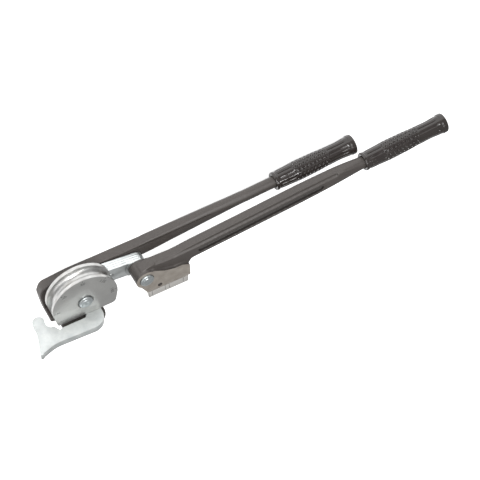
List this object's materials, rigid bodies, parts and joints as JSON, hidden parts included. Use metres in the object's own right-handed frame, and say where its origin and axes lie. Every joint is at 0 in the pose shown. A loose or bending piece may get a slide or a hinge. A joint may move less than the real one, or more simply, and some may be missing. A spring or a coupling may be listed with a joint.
{
  "type": "lever tube bender",
  "caption": "Hand tool that bends metal tube: a grooved half-moon former on one long handle, a slide block on a second, a link between them and a hook.",
  "frame": {"origin": "centre of the bounding box in X and Y at its lowest Z, the flat back of the former handle's plate", "axes": "+X runs along the folded handles from the former to the grips, +Y is across the handles on the side of the former's arc, +Z is along the pivot pins, from the back plate to the former's marked face"},
  "size_m": [0.5286, 0.0842, 0.0719],
  "materials": {
    "coated_iron": "charcoal powder coat with a fine texture",
    "grip": "glossy black moulded sleeve with flutes and dimples",
    "former_alloy": "turned, polished groove and satin face",
    "block_steel": "machined",
    "zinc": "zinc plated, satin",
    "screw_steel": "plain steel",
    "bronze": "sintered bearing bronze"
  },
  "bodies": {
    "former_handle": {"former_handle_casting": "coated_iron", "former": "former_alloy", "former_handle_grip": "grip", "main_pivot_pin": "zinc", "main_retaining_ring": "screw_steel", "main_thrust_washer": "bronze", "former_screw_1": "screw_steel", "former_screw_2": "screw_steel", "former_dowel": "screw_steel", "hook_pivot_screw": "zinc", "hook_friction_washer": "screw_steel"},
    "link": {"link_leaf_1": "zinc", "link_leaf_2": "zinc", "link_leaf_3": "zinc", "link_leaf_4": "zinc", "link_rivet_1": "zinc", "link_rivet_2": "zinc", "link_bush_main": "bronze", "link_bush_handle": "bronze"},
    "bending_handle": {"bending_handle_casting": "coated_iron", "slide_block": "block_steel", "slide_block_pin": "screw_steel", "handle_pivot_pin": "zinc", "handle_thrust_washer": "zinc", "bending_handle_grip": "grip"},
    "hook": {"hook": "zinc"}
  },
  "joints": [
    {"name": "link_swing", "type": "hinge", "parent": "former_handle", "child": "link", "pos_m": [-0.19825, 0.00046, 0.02], "axis": [0, 0, 1], "range_deg": [0, 184.5]},
    {"name": "bending_handle_hinge", "type": "hinge", "parent": "link", "child": "bending_handle", "pos_m": [-0.12625, -0.00774, 0.0265], "axis": [0, 0, 1], "range_deg": [-90, 45]},
    {"name": "hook_swing", "type": "hinge", "parent": "former_handle", "child": "hook", "pos_m": [-0.19125, -0.02564, 0.039], "axis": [0, 1, 0], "range_deg": [0, 90]}
  ]
}
